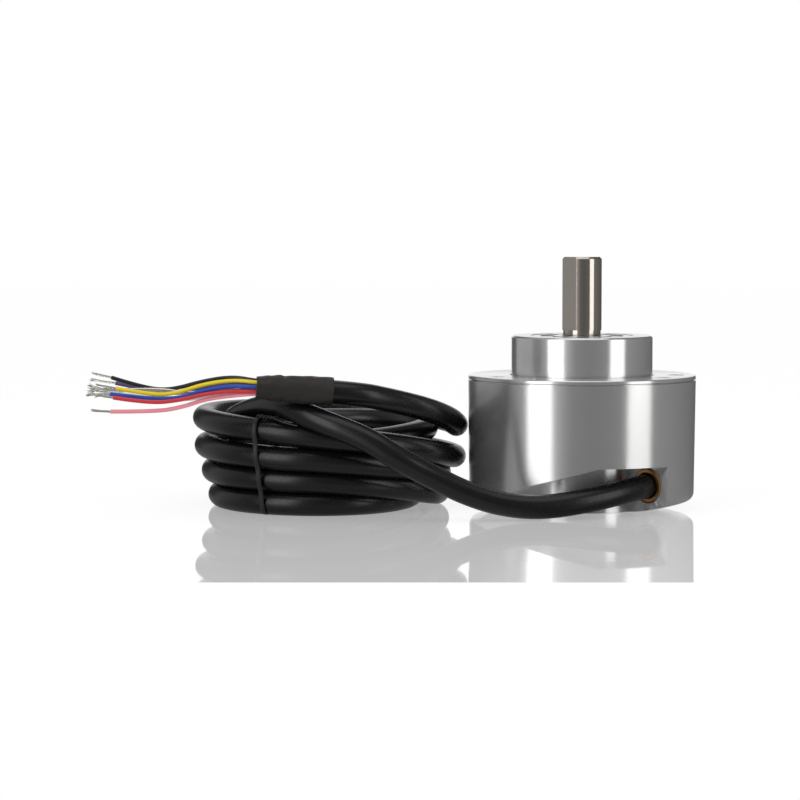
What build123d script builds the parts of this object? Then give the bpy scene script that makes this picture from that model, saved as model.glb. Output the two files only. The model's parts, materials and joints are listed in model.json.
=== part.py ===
from build123d import *
from math import asin, atan2, cos, degrees, pi, radians, sin, sqrt, tan
import os

# Incremental rotary encoder with a face-mount flange, a solid shaft and a coiled cable.
# Millimetres. The shaft axis is Z, the floor is z = 0, and the cable leaves towards -Y and -X.

# Flange body
rim_d = 58.0
rim_t = 1.0
boss_d = 36.0
boss_h = 10.0
boss_chamfer = 0.4
foot_groove_w = 0.3
foot_groove_depth = 0.3
boss_relief_depth = 0.3
boss_relief_h = 0.5
edge_break = 0.2
body_h = 34.0
spigot_len = 10.6
shoulder_r = 8.6
fit_gap = 0.02
slip_gap = 0.05

# Face holes, on one pitch circle
hole_circle_d = 48.0
hole_turn = -5.0
large_hole_d = 4.0
large_hole_depth = 8.0
small_hole_d = 3.0
small_hole_depth = 6.0
hole_step = 30.0
hole_count = 3

# Cover
cover_foot_in = 0.38
cover_wall = 1.8
foot_flat_r = 13.7
dome_r = 42.0
dome_edge_fillet = 2.3
cover_floor = 2.0
cover_corner_in = 1.4
cover_corner_rise = 1.2
cover_inner_flat_r = 16.0
seam_h = 0.25
seam_depth = 0.6

# Cable channel in the cover: its exit wall, its inner wall and its ramped ceiling
exit_az = -46.0
channel_w = 13.0
channel_top = 12.3
ramp_from_az = -85.0
ramp_to_az = -182.0
channel_skin = 1.3
exit_wall_t = 5.0

# Cable, ferrule and sleeve
cable_d = 6.0
ferrule_d = 8.9
ferrule_proud = 0.35
ferrule_lip = 0.35
outlet_in = 6.7
outlet_z = 7.15
outlet_tilt = 6.0
crimp_wall = 0.55
crimp_len = 2.0
cable_inside = 3.6
sleeve_d = 7.0
sleeve_len = 18.8
sleeve_inset = 5.0
sleeve_neck_d = 6.6
lead_d = 1.0
lead_ring_r = 1.55
strand_d = 0.5
tie_t = 0.9
tie_w = 1.3

# Shaft
shaft_d = 10.0
shaft_reach = 20.0
shaft_chamfer = 0.5
flat_depth = 1.0
flat_len = 18.6
flat_az = -148.0
journal_d = 6.0
journal_len = 5.0
circlip_land = 1.1
foot_relief_under = 0.3
foot_relief_depth = 0.2

# Bearings: bore, outer diameter, width, ball size, ball count
front_bearing = {"bore": shaft_d, "outer": 26.0, "width": 8.0, "ball": 4.762, "count": 7}
rear_bearing = {"bore": shaft_d, "outer": 22.0, "width": 6.0, "ball": 3.175, "count": 9}
bearing_recess = 0.1
race_share = 0.68
ball_gap = 0.03
cage_gap = 0.12
cage_back = 0.75
cage_share = 0.4
shield_t = 0.3
shield_gap = 0.2
spacer_wall = 1.5
spacer_len = 4.7

# Retaining rings and curved spring washer
ring_t = 1.0
ring_side_gap = 0.05
ring_groove_depth = 0.5
shaft_groove_depth = 0.2
washer_t = 0.3
washer_h = 0.8
washer_w = 1.6
shaft_ring_w = 1.5
bore_ring_w = 2.1
ear_in = 0.2
shaft_ear_r = 1.2
bore_ear_r = 1.3
ear_hole_share = 0.45

# Code disc and optics
hub_d = 12.0
hub_flange_d = 20.0
hub_flange_t = 1.2
hub_neck = 1.6
hub_inset = 0.3
disc_room = 1.25
disc_t = 0.3
slot_count = 60
slot_edge = 1.4
slot_len = 2.2
slot_w = 0.85
index_step = 3.1
clamp_ring_d = 16.0
clamp_ring_t = 0.9
optics_in = 2.8
optics_az = 90.0
mask_t = 1.2
mask_gap = 0.2
mask_w = 9.0
mask_h = 7.0
window_count = 4
window_pitch = 1.6
window_edge = 1.5
sensor_h = 1.6
led_d = 3.0
led_gap = 1.0
led_len = 4.2
led_holder_w = 8.0
led_holder_l = 14.0
led_holder_t = 1.0
led_holder_screw_d = 2.0
led_screw_at = 5.0
led_screw_reach = 2.8
led_screw_head_d = 3.4
led_screw_head_h = 0.9
led_collar_w = 0.4
led_collar_h = 0.8
led_room = 0.3

# Circuit board
board_room = 1.2
board_t = 1.6
standoff_edge = 2.5
standoff_d = 4.5
standoff_turn = 60.0
screw_d = 2.0
screw_head_d = 3.8
screw_head_h = 1.4
screw_bite = 3.0
chip_h = 1.5
main_chip_w = 9.0
main_chip_x = -7.0
main_chip_y = 1.0
driver_chip_l = 6.0
driver_chip_w = 5.0
driver_chip_x = 6.5
driver_chip_y = 4.0
can_d = 4.0
can_h = 5.0
can_x = -12.0
can_y = 13.0
can_step_x = -4.6
can_step_y = -4.0
header_x = 1.0
header_y = 18.0
header_rows = 4
header_pitch = 2.0
header_h = 4.0
header_wall = 1.4
inner_lead_z = 6.2

# Cover seal
seal_w = 1.2
seal_depth = 0.75
seal_lift = 1.2
seal_side_gap = 0.05
seal_round = 0.25

# Coil of cable: outline of its turns, leaning outwards to its top
coil_x = -64.8
coil_y = 7.0
coil_foot_r = 31.0
coil_top_r = 35.4
coil_inner_foot_r = 18.6
coil_inner_top_r = 22.4
coil_left_h = 25.9
coil_right_h = 21.6
coil_corner = 2.8
tie_az = -120.0
tie_shoulder_z = 23.6
tie_crown_z = 27.9
tie_head_in = 4.0
tie_inner_in = 2.0

# Values that follow from the sizes above
boss_top = body_h + boss_h
shaft_top = boss_top + shaft_reach
rim_r = rim_d / 2
rim_under = body_h - rim_t
spigot_under = rim_under - spigot_len
cover_inner_r = rim_r - cover_wall
cover_foot_r = rim_r - cover_foot_in
channel_inner_r = rim_r - channel_w
outlet_r = rim_r - outlet_in
front_top = boss_top - bearing_recess
front_under = front_top - front_bearing["width"]
rear_top = front_under - spacer_len
rear_under = rear_top - rear_bearing["width"]
washer_under = rear_under - washer_h
bore_ring_under = washer_under - ring_t
shaft_ring_under = rear_under - ring_t
journal_top = shaft_ring_under - circlip_land
shaft_under = journal_top - journal_len
hub_under = shaft_under + hub_inset
flange_top = journal_top - hub_neck
flange_under = flange_top - hub_flange_t
disc_under = flange_under - disc_t
mask_top = disc_under - mask_gap
sensor_top = mask_top - mask_t
board_top = sensor_top - sensor_h
board_under = board_top - board_t
screw_head_under = board_under - screw_head_h
exit_dir = exit_az - 90.0
board_r = cover_inner_r - board_room
standoff_r = board_r - standoff_edge
disc_r = standoff_r - standoff_d / 2 - disc_room
slot_outer_r = disc_r - slot_edge
slot_inner_r = slot_outer_r - slot_len
index_r = slot_outer_r - slot_len / 2 - index_step
optics_r = disc_r - optics_in


def polar(radius, azimuth, z=0.0):
    return Vector(radius * cos(radians(azimuth)), radius * sin(radians(azimuth)), z)


def tube(inner_r, outer_r, bottom, top):
    ring = Circle(outer_r) - Circle(inner_r)
    return extrude(Pos(0, 0, bottom) * ring, top - bottom)


def rod(radius, bottom, top):
    return extrude(Pos(0, 0, bottom) * Circle(radius), top - bottom)


def profile(*points):
    return make_face(Polyline(*points, close=True))


def turned(section):
    return revolve(Plane.XZ * section, Axis.Z)


def around(solid, count, start=0.0):
    return [Rot(0, 0, start + 360.0 * i / count) * solid for i in range(count)]


# Flange body

def face_hole(diameter, depth, azimuth):
    cutter = Pos(polar(hole_circle_d / 2, azimuth)) * rod(diameter / 2, body_h - depth, body_h + 1)
    sink = Pos(polar(hole_circle_d / 2, azimuth, body_h))
    return cutter + sink * Cone(diameter / 2, diameter / 2 + edge_break, 2 * edge_break)


def flange_section():
    seal_r = cover_inner_r - fit_gap - seal_depth
    seal_under = spigot_under + seal_lift
    spigot_r = cover_inner_r - fit_gap
    seat_r = front_bearing["outer"] / 2
    rear_r = rear_bearing["outer"] / 2
    groove_r = rear_r + ring_groove_depth
    groove_under = bore_ring_under - ring_side_gap
    boss_r = boss_d / 2
    groove_floor = body_h - foot_groove_depth
    face_r = boss_r + foot_groove_w
    relief_r = boss_r - boss_relief_depth
    relief_top = body_h + boss_relief_h
    return profile(
        (seat_r, boss_top), (boss_r - boss_chamfer, boss_top), (boss_r, boss_top - boss_chamfer),
        (boss_r, relief_top), (relief_r, relief_top), (relief_r, groove_floor), (face_r, groove_floor),
        (face_r, body_h), (rim_r - edge_break, body_h), (rim_r, body_h - edge_break),
        (rim_r, rim_under + edge_break), (rim_r - edge_break, rim_under), (spigot_r, rim_under),
        (spigot_r, seal_under + seal_w), (seal_r, seal_under + seal_w), (seal_r, seal_under),
        (spigot_r, seal_under), (spigot_r, spigot_under + edge_break),
        (spigot_r - edge_break, spigot_under), (rear_r, spigot_under),
        (rear_r, groove_under), (groove_r, groove_under), (groove_r, washer_under), (rear_r, washer_under),
        (rear_r, rear_top), (shoulder_r, rear_top), (shoulder_r, front_under), (seat_r, front_under))


def led_pocket():
    room = Pos(0, 0, led_holder_t / 2) * Box(led_holder_l + 2 * slip_gap, led_holder_w + 2 * slip_gap, led_holder_t)
    room += rod(led_d / 2 + led_collar_w + led_room, 0, led_level() + led_len + led_room - spigot_under)
    for side in (-1, 1):
        thread = rod(led_holder_screw_d / 2 + fit_gap, 0, led_screw_reach + led_room)
        room += Pos(side * led_screw_at, 0, 0) * thread
    return at_optics(room, spigot_under)


def flange_body():
    body = turned(flange_section())
    for i in range(hole_count):
        azimuth = hole_turn + 360.0 * i / hole_count
        body -= face_hole(large_hole_d, large_hole_depth, azimuth)
        body -= face_hole(small_hole_d, small_hole_depth, azimuth - hole_step)
    thread = Pos(polar(standoff_r, standoff_turn))
    thread *= rod(screw_d / 2 + fit_gap, spigot_under - 1, spigot_under + screw_bite + 0.4)
    for cutter in around(thread, hole_count):
        body -= cutter
    return body - led_pocket()


# Cover with its channel

def cover_blank():
    reach = cover_foot_r - foot_flat_r
    sweep_deg = degrees(asin(reach / dome_r))
    flat = Line((0, 0), (foot_flat_r, 0))
    dome = CenterArc((foot_flat_r, dome_r), dome_r, -90, sweep_deg)
    wall = Line(dome @ 1, (rim_r, rim_under - seam_h))
    seam = Line(wall @ 1, (rim_r - seam_depth, rim_under - seam_h))
    edge = Line(seam @ 1, (rim_r - seam_depth, rim_under))
    top = Line(edge @ 1, (0, rim_under))
    face = make_face([flat, dome, wall, seam, edge, top, Line(top @ 1, (0, 0))])
    corner = face.vertices().sort_by_distance(Vector(*(dome @ 1)))[0]
    return turned(fillet(corner, dome_edge_fillet))


def floor_top(radius):
    reach = max(0.0, radius - foot_flat_r)
    return dome_r - sqrt(dome_r ** 2 - reach ** 2) + cover_floor


def cover_room():
    corner_r = cover_inner_r - cover_corner_in
    return turned(profile(
        (0, cover_floor), (cover_inner_flat_r, floor_top(cover_inner_flat_r)), (corner_r, floor_top(corner_r)),
        (cover_inner_r, floor_top(cover_inner_r) + cover_corner_rise), (cover_inner_r, rim_under + 1), (0, rim_under + 1)))


def channel_space(lift, back, inner_r):
    span = 2 * rim_r
    section = Plane.XZ * profile((inner_r, -span), (span, -span), (span, 0), (inner_r, 0))
    level = revolve(section, Axis.Z, revolution_arc=exit_az + 60 - ramp_from_az)
    level = Pos(0, 0, channel_top + lift) * Rot(0, 0, ramp_from_az) * level
    level &= Rot(0, 0, exit_dir) * Pos(span - back, 0, 0) * Box(2 * span, 4 * span, 4 * span)
    turn = ramp_from_az - ramp_to_az
    helix = Helix(pitch=channel_top * 360 / turn, height=channel_top, radius=inner_r)
    ramp = Pos(0, 0, lift) * Rot(0, 0, ramp_to_az) * sweep(section, path=helix, is_frenet=True)
    return level + ramp


def outlet_plane():
    centre = polar(outlet_r, exit_az, outlet_z)
    out = polar(cos(radians(outlet_tilt)), exit_dir, -sin(radians(outlet_tilt)))
    return Plane(origin=centre, x_dir=polar(1, exit_az), z_dir=out)


def along_outlet(inner_r, outer_r, start, end):
    section = Circle(outer_r)
    if inner_r:
        section -= Circle(inner_r)
    return extrude(outlet_plane() * (Pos(0, 0, start) * section), end - start)


def cover():
    shell = cover_blank()
    land = channel_space(channel_skin, exit_wall_t, channel_inner_r - channel_skin)
    shell -= cover_room() - land
    shell -= channel_space(0, 0, channel_inner_r)
    return shell - along_outlet(0, ferrule_d / 2 + fit_gap, -exit_wall_t - 4, 3)


def cover_seal():
    inner = cover_inner_r - seal_depth
    outer = cover_inner_r - fit_gap
    under = spigot_under + seal_lift + seal_side_gap
    top = under + seal_w - 2 * seal_side_gap
    return turned(profile(
        (inner, under + seal_round), (inner + seal_round, under), (outer - seal_round, under),
        (outer, under + seal_round), (outer, top - seal_round), (outer - seal_round, top),
        (inner + seal_round, top), (inner, top - seal_round)))


# Bearings

def bearing_sizes(kind):
    pitch_r = (kind["bore"] + kind["outer"]) / 4
    ball_r = kind["ball"] / 2
    rise = ball_r * race_share
    return pitch_r, ball_r, pitch_r - rise, pitch_r + rise


def race_groove(kind, middle):
    pitch_r, ball_r, _, _ = bearing_sizes(kind)
    return Pos(0, 0, middle) * Torus(pitch_r, ball_r + ball_gap)


def outer_ring(kind, under):
    half = kind["width"] / 2
    _, _, _, shoulder = bearing_sizes(kind)
    ring = tube(shoulder, kind["outer"] / 2 - fit_gap, under, under + kind["width"])
    rims = ring.edges().filter_by(GeomType.CIRCLE).sort_by(SortBy.RADIUS)[-2:]
    ring = chamfer(rims, 0.3)
    step = tube(shoulder - 0.1, shoulder + 0.5, -shield_t, shield_t)
    low = Pos(0, 0, under + shield_gap + shield_t) * step
    high = Pos(0, 0, under + kind["width"] - shield_gap - shield_t) * step
    return ring - race_groove(kind, under + half) - low - high


def inner_ring(kind, under):
    half = kind["width"] / 2
    _, _, shoulder, _ = bearing_sizes(kind)
    ring = tube(kind["bore"] / 2 + fit_gap, shoulder, under, under + kind["width"])
    ring = chamfer(ring.edges().filter_by(GeomType.CIRCLE).sort_by(SortBy.RADIUS)[:2], 0.3)
    return ring - race_groove(kind, under + half)


def balls(kind, under):
    pitch_r, ball_r, _, _ = bearing_sizes(kind)
    ball = Pos(pitch_r, 0, under + kind["width"] / 2) * Sphere(ball_r)
    return Compound(children=around(ball, kind["count"]))


def cage(kind, under):
    pitch_r, ball_r, shoulder_in, shoulder_out = bearing_sizes(kind)
    middle = under + kind["width"] / 2
    back = middle - ball_r - cage_back
    web = tube(shoulder_in + 0.3, shoulder_out - 0.3, back, middle + ball_r * cage_share)
    pocket = Pos(pitch_r, 0, middle) * Sphere(ball_r + cage_gap)
    for cutter in around(pocket, kind["count"]):
        web -= cutter
    return web


def shields(kind, under):
    _, _, shoulder_in, shoulder_out = bearing_sizes(kind)
    plate = tube(shoulder_in + shield_gap, shoulder_out + 0.5 - fit_gap, 0, shield_t)
    low = Pos(0, 0, under + shield_gap + fit_gap) * plate
    high = Pos(0, 0, under + kind["width"] - shield_gap - shield_t - fit_gap) * plate
    return Compound(children=[low, high])


def inner_spacer():
    return tube(shaft_d / 2 + fit_gap, shaft_d / 2 + spacer_wall, rear_top + fit_gap, front_under - fit_gap)


# Retaining rings

def gap_wedge(radius, gap_deg):
    half = radians(gap_deg / 2)
    far = radius * 2
    return profile((0, 0), (far * cos(half), -far * sin(half)), (far * cos(half), far * sin(half)))


def split_ring(inner_r, outer_r, gap_deg, ear_at, ear_r, under):
    band = Circle(outer_r) - Circle(inner_r) - gap_wedge(outer_r, gap_deg)
    ear_angle = gap_deg / 2 + degrees(asin(ear_r / ear_at)) - 2
    for side in (-1, 1):
        ear = Pos(ear_at * cos(radians(ear_angle)), side * ear_at * sin(radians(ear_angle)))
        band += ear * Circle(ear_r)
        band -= ear * Circle(ear_r * ear_hole_share)
    return extrude(Pos(0, 0, under) * band, ring_t - ring_side_gap)


def shaft_circlip():
    inner_r = shaft_d / 2 - shaft_groove_depth + fit_gap
    outer_r = shaft_d / 2 + shaft_ring_w
    return split_ring(inner_r, outer_r, 50, outer_r + ear_in, shaft_ear_r, shaft_ring_under)


def bore_circlip():
    outer_r = rear_bearing["outer"] / 2 + ring_groove_depth - fit_gap
    inner_r = outer_r - bore_ring_w
    return split_ring(inner_r, outer_r, 44, inner_r - ear_in, bore_ear_r, bore_ring_under)


def spring_washer():
    outer_r = rear_bearing["outer"] / 2 - slip_gap
    bow = washer_h - washer_t - 2 * fit_gap
    bend_r = (outer_r ** 2 + bow ** 2) / (2 * bow)
    hollow = Pos(0, bow - bend_r) * Circle(bend_r)
    strip = Pos(0, bow - bend_r + washer_t) * Circle(bend_r) - hollow
    strip = extrude(Plane.XZ * strip, outer_r, both=True)
    return Pos(0, 0, washer_under) * (tube(outer_r - washer_w, outer_r, 0, washer_h) & strip)


# Shaft

def shaft():
    stem = rod(shaft_d / 2, journal_top, shaft_top)
    stem = chamfer(stem.edges().filter_by(GeomType.CIRCLE).sort_by(Axis.Z)[-1:], shaft_chamfer)
    stem += rod(journal_d / 2, shaft_under, journal_top)
    groove_r = shaft_d / 2 - shaft_groove_depth
    stem -= tube(groove_r, shaft_d, shaft_ring_under - ring_side_gap, rear_under)
    relief_r = shaft_d / 2 - foot_relief_depth
    foot = shaft_top - flat_len
    stem -= tube(relief_r, shaft_d, boss_top - foot_relief_under, foot)
    flat_from = shaft_d / 2 - flat_depth
    cutter = Pos(flat_from + shaft_d / 2, 0, shaft_top - flat_len / 2 + 1) * Box(
        shaft_d, shaft_d * 2, flat_len + 2)
    return stem - Rot(0, 0, flat_az) * cutter


# Code disc and optics

def disc_hub():
    bore = journal_d / 2 + fit_gap
    body = tube(bore, hub_d / 2, hub_under, journal_top - fit_gap)
    return body + tube(bore, hub_flange_d / 2, flange_under, flange_top)


def code_disc():
    disc = Circle(disc_r) - Circle(hub_d / 2 + fit_gap)
    slot_at = (slot_inner_r + slot_outer_r) / 2
    slot = Pos(slot_at, 0) * Rectangle(slot_len, slot_w)
    disc -= around(slot, slot_count)
    disc -= Rot(0, 0, optics_az) * Pos(index_r, 0) * Rectangle(slot_len, slot_w)
    return extrude(Pos(0, 0, disc_under) * disc, disc_t)


def disc_clamp_ring():
    top = disc_under
    ring = tube(hub_d / 2 + fit_gap, clamp_ring_d / 2, top - clamp_ring_t, top)
    return chamfer(ring.edges().filter_by(GeomType.CIRCLE).sort_by(Axis.Z)[:2].sort_by(SortBy.RADIUS)[-1:], 0.3)


def at_optics(solid, z):
    return Pos(polar(optics_r, optics_az, z)) * Rot(0, 0, optics_az - 90) * solid


def mask():
    plate = Box(mask_w, mask_h, mask_t)
    for i in range(window_count):
        place = (i - (window_count - 1) / 2) * window_pitch
        window = Pos(place, 0, 0) * Box(slot_w, mask_h - 2 * window_edge, mask_t * 2)
        plate -= window
    return at_optics(plate, sensor_top + mask_t / 2)


def optical_sensor():
    body = Box(mask_w - 1, mask_h - 1, sensor_h)
    return at_optics(chamfer(body.edges().group_by(Axis.Z)[-1], 0.2), board_top + sensor_h / 2)


def led_level():
    return disc_under + disc_t + led_gap


def light_source():
    dome_r_led = led_d / 2
    lens = rod(dome_r_led, dome_r_led, led_len) + Pos(0, 0, dome_r_led) * Sphere(dome_r_led)
    collar_z = spigot_under + led_holder_t - led_level()
    collar = rod(dome_r_led + led_collar_w, collar_z, collar_z + led_collar_h)
    return at_optics(lens + collar, led_level())


def led_holder():
    plate = Box(led_holder_l, led_holder_w, led_holder_t)
    plate -= rod(led_d / 2 + fit_gap, -led_holder_t, led_holder_t)
    for side in (-1, 1):
        hole = rod(led_holder_screw_d / 2 + slip_gap, -led_holder_t, led_holder_t)
        plate -= Pos(side * led_screw_at, 0, 0) * hole
    return at_optics(plate, spigot_under + led_holder_t / 2)


def led_holder_screws():
    stud = rod(led_holder_screw_d / 2, 0, led_screw_reach) + rod(led_screw_head_d / 2, -led_screw_head_h, 0)
    screws = [at_optics(Pos(side * led_screw_at, 0, 0) * stud, spigot_under) for side in (-1, 1)]
    return Compound(children=screws)


# Circuit board

def circuit_board():
    board = rod(board_r, board_under, board_top)
    hole = Pos(polar(standoff_r, standoff_turn)) * rod(
        screw_d / 2 + slip_gap, board_under - 1, board_top + 1)
    for cutter in around(hole, hole_count):
        board -= cutter
    return board


def standoffs():
    post = tube(screw_d / 2 + slip_gap, standoff_d / 2, board_top, spigot_under)
    placed = Pos(polar(standoff_r, standoff_turn)) * post
    return Compound(children=around(placed, hole_count))


def board_screws():
    head = rod(screw_head_d / 2, screw_head_under, board_under)
    head = chamfer(head.edges().filter_by(GeomType.CIRCLE).sort_by(Axis.Z)[:1], 0.35)
    head -= Pos(0, 0, screw_head_under) * Box(0.5, screw_head_d - 0.8, 1.2)
    shank = rod(screw_d / 2, board_under, spigot_under + screw_bite)
    placed = Pos(polar(standoff_r, standoff_turn)) * (head + shank)
    return Compound(children=around(placed, hole_count))


def chip(length, width, x, y):
    body = Box(length, width, chip_h)
    body = chamfer(body.edges().group_by(Axis.Z)[0], edge_break)
    return Pos(x, y, board_under - chip_h / 2) * body


def board_chips():
    main = chip(main_chip_w, main_chip_w, main_chip_x, main_chip_y)
    driver = chip(driver_chip_l, driver_chip_w, driver_chip_x, driver_chip_y)
    return Compound(children=[main, driver])


def board_capacitors():
    cans = []
    for i in range(2):
        can = rod(can_d / 2, board_under - can_h, board_under)
        can = fillet(can.edges().sort_by(Axis.Z)[:1], 0.4)
        cans.append(Pos(can_x + can_step_x * i, can_y + can_step_y * i, 0) * can)
    return Compound(children=cans)


def board_header():
    length = header_pitch * header_rows + 2 * header_wall
    width = 2 * header_pitch + 2 * header_wall
    body = Pos(header_x, header_y, board_under - header_h / 2) * Box(length, width, header_h)
    return chamfer(body.edges().filter_by(Axis.Z), 0.4)


def inner_leads():
    start = outlet_plane() * Pos(0, 0, -exit_wall_t - cable_inside - 0.3)
    leads = []
    plug_under = board_under - header_h
    for row in range(header_rows):
        rise = (1.5 - row) * (lead_d + 0.12)
        x = header_x + (1.5 - row) * header_pitch
        low = inner_lead_z + rise
        for side in (-1, 1):
            shift = side * (lead_d / 2 + 0.08)
            begin = (start * Pos(shift, -rise, 0)).position
            route = [begin, polar(24.2 + shift, -8, low), polar(22.8 + shift, 30, low),
                     Vector(x + 6.0, header_y + 0.7 + shift, low), Vector(x, header_y + shift, low),
                     Vector(x, header_y + shift, plug_under)]
            leads.append(cord_tube("inner lead", route, lead_d, quiet=True))
    return Compound(children=leads)


# Cable

def bend_radii(points):
    radii = []
    for a, b, c in zip(points, points[1:], points[2:]):
        first, second = Vector(*b) - Vector(*a), Vector(*c) - Vector(*b)
        turn = radians(first.get_angle(second))
        radii.append(0.45 * min(first.length, second.length) / tan(turn / 2))
    return radii


def cord_tube(name, points, diameter, quiet=False):
    radii = bend_radii(points)
    path = FilletPolyline(*points, radius=radii)
    solid = sweep(Plane(origin=path @ 0, z_dir=path % 0) * Circle(diameter / 2), path=path)
    expected = pi * diameter ** 2 / 4 * path.length
    if not quiet:
        print(name, "length", round(path.length, 1), "volume ratio", round(solid.volume / expected, 4),
              "radii", [round(r) for r in radii])
    return solid


def outlet_point(distance):
    place = outlet_plane() * Pos(0, 0, distance)
    return place.position


lead_out_route = [
    (8.6, -22.9, 6.05), (-1.0, -28.1, 4.4), (-11.5, -30.9, 3.1), (-21.0, -32.1, 3.9), (-30.0, -32.4, 6.7),
    (-38.5, -32.3, 10.9), (-47.0, -33.9, 15.5), (-53.9, -32.8, 19.0), (-64.3, -29.7, 24.5),
    (-73.3, -25.4, 25.0), (-79.7, -18.5, 24.3), (-84.5, -12.2, 22.7), (-87.6, -4.1, 20.7)]

tail_route = [
    (-31.3, 6.0, 20.3), (-33.5, -3.2, 23.0), (-39.4, -12.6, 26.0), (-48.4, -21.6, 28.8),
    (-57.8, -27.4, 30.7), (-77.9, -29.2, 32.0)]

# Each lead: its place in the sleeve's mouth in degrees, its route beyond it, and its bare tip
lead_routes = {
    "lead_yellow": (50, [(-87.3, -28.8, 34.3), (-94.4, -28.9, 33.3), (-101.6, -28.9, 30.9),
                         (-107.3, -29.1, 30.7), (-115.7, -29.4, 32.3)], (-120.7, -29.5, 33.2)),
    "lead_black": (95, [(-87.3, -27.5, 35.1), (-94.5, -26.9, 34.0), (-102.5, -26.2, 31.7),
                        (-108.8, -25.7, 32.1), (-117.3, -25.0, 34.7)], (-122.3, -24.7, 35.8)),
    "lead_violet": (140, [(-87.3, -26.4, 33.1), (-94.6, -24.5, 32.2), (-100.5, -22.9, 30.5),
                          (-107.4, -21.4, 31.2), (-116.8, -19.9, 33.0)], (-123.4, -18.7, 33.8)),
    "lead_blue": (5, [(-87.3, -29.9, 33.0), (-94.1, -30.1, 31.9), (-100.5, -30.4, 29.9),
                      (-107.3, -30.7, 29.8), (-117.0, -31.1, 31.0)], (-122.9, -31.3, 30.9)),
    "lead_red": (-40, [(-87.2, -29.8, 31.7), (-93.5, -30.8, 31.1), (-100.6, -31.8, 29.4),
                       (-107.4, -32.7, 28.9), (-116.0, -33.7, 30.3)], (-120.7, -34.3, 31.1)),
    "lead_pink": (-85, [(-88.0, -29.1, 30.4), (-93.7, -29.9, 29.7), (-99.8, -31.1, 27.7),
                        (-106.1, -32.3, 26.8), (-116.7, -33.5, 26.9)], (-121.4, -34.1, 27.2)),
    "lead_brown": (185, [(-87.3, -25.7, 31.9), (-93.7, -23.1, 31.0), (-100.5, -20.8, 29.3),
                         (-108.8, -19.1, 29.2), (-118.7, -17.3, 30.1)], (-122.6, -16.7, 29.6)),
    "lead_white": (230, [(-87.3, -26.4, 30.8), (-93.3, -25.4, 30.0), (-100.8, -24.4, 29.1),
                         (-108.4, -24.1, 29.5), (-118.3, -23.8, 31.0)], (-122.1, -23.6, 31.4)),
}
shield_route = [(-89.7, -28.1, 32.0), (-97.5, -27.5, 30.8), (-106.4, -27.9, 32.1), (-115.2, -27.5, 31.7)]
shield_tip = (-123.1, -27.1, 32.0)


def cable_lead_out():
    points = [outlet_point(-exit_wall_t - cable_inside), outlet_point(-1.0)] + lead_out_route
    return cord_tube("lead-out", points, cable_d)


def cable_tail():
    return cord_tube("tail", tail_route, cable_d)


def cable_coil():
    top = max(coil_left_h, coil_right_h)
    section = profile((coil_inner_foot_r, 0), (coil_foot_r, 0), (coil_top_r, top), (coil_inner_top_r, top))
    section = fillet(section.vertices().sort_by(Axis.Y)[:2], coil_corner)
    ring = turned(section)
    slope = degrees(atan2(coil_left_h - coil_right_h, 2 * coil_top_r))
    middle = (coil_left_h + coil_right_h) / 2
    ring -= Pos(0, 0, middle) * Rot(0, slope, 0) * Pos(0, 0, top) * Box(4 * top, 4 * top, 2 * top)
    rims = ring.faces().sort_by(Axis.Z)[-1].edges()
    return Pos(coil_x, coil_y, 0) * fillet(rims, coil_corner)


def sleeve_plane(along):
    corner, end = (Vector(*p) for p in tail_route[-2:])
    line = (end - corner).normalized()
    return Plane(origin=corner + line * (sleeve_inset + along), x_dir=(0, -1, 0), z_dir=line)


def heat_shrink_sleeve():
    bore = cable_d / 2 + fit_gap
    outer, neck, length = sleeve_d / 2, sleeve_neck_d / 2, sleeve_len
    section = profile((bore, 0), (outer - 0.2, 0), (outer, 0.3), (outer, length * 0.6), (neck, length * 0.72),
                      (outer - 0.1, length * 0.86), (neck - 0.1, length), (bore - 0.1, length), (bore, length * 0.9))
    return sleeve_plane(0) * turned(section)


def lead_start(angle, at_mouth):
    corner, end = (Vector(*p) for p in tail_route[-2:])
    cable_ends = (end - corner).length - sleeve_inset
    along = sleeve_len if at_mouth else cable_ends
    offset_r = lead_ring_r if angle is not None else 0.0
    turn = radians(angle or 0.0)
    return (sleeve_plane(along) * Pos(offset_r * cos(turn), offset_r * sin(turn), 0)).position


def flying_lead(name):
    angle, route, _ = lead_routes[name]
    points = [lead_start(angle, False), lead_start(angle, True)] + route
    return cord_tube(name, points, lead_d)


def bare_end(start, tip, diameter):
    axis = Plane(origin=start, z_dir=Vector(*tip) - Vector(*start))
    length = (Vector(*tip) - Vector(*start)).length
    return extrude(axis * Circle(diameter / 2), length)


def bare_conductors():
    return Compound(children=[bare_end(route[-1], tip, strand_d) for _, route, tip in lead_routes.values()])


def shield_pigtail():
    points = [lead_start(None, False), lead_start(None, True)]
    return cord_tube("shield", points + shield_route + [shield_tip], lead_d)


def coil_tie():
    outward = polar(1, tie_az)
    section = Plane(origin=(coil_x, coil_y, 0), x_dir=outward, z_dir=(outward.Y, -outward.X, 0))
    half = tie_t / 2
    inner_foot, inner_top = coil_inner_foot_r - half, coil_inner_top_r - half
    foot, head = coil_foot_r + half, coil_top_r + half
    frame = profile((inner_foot, half), (foot, half), (head, tie_shoulder_z), (head - tie_head_in, tie_crown_z),
                    (inner_top + tie_inner_in, tie_crown_z), (inner_top, tie_shoulder_z))
    band = offset(frame, half) - offset(frame, -half)
    return extrude(section * band, tie_w / 2, both=True)


# Ferrule and crimp ring

def cable_ferrule():
    bore = cable_d / 2 + slip_gap
    ring = along_outlet(bore, ferrule_d / 2, -exit_wall_t, ferrule_proud)
    front = ring.edges().filter_by(GeomType.CIRCLE).sort_by_distance(outlet_plane().origin)[:2]
    return chamfer(front, ferrule_lip)


def cable_crimp():
    start = -exit_wall_t - 0.4 - crimp_len
    return along_outlet(cable_d / 2 + fit_gap, cable_d / 2 + crimp_wall, start, start + crimp_len)


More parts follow.
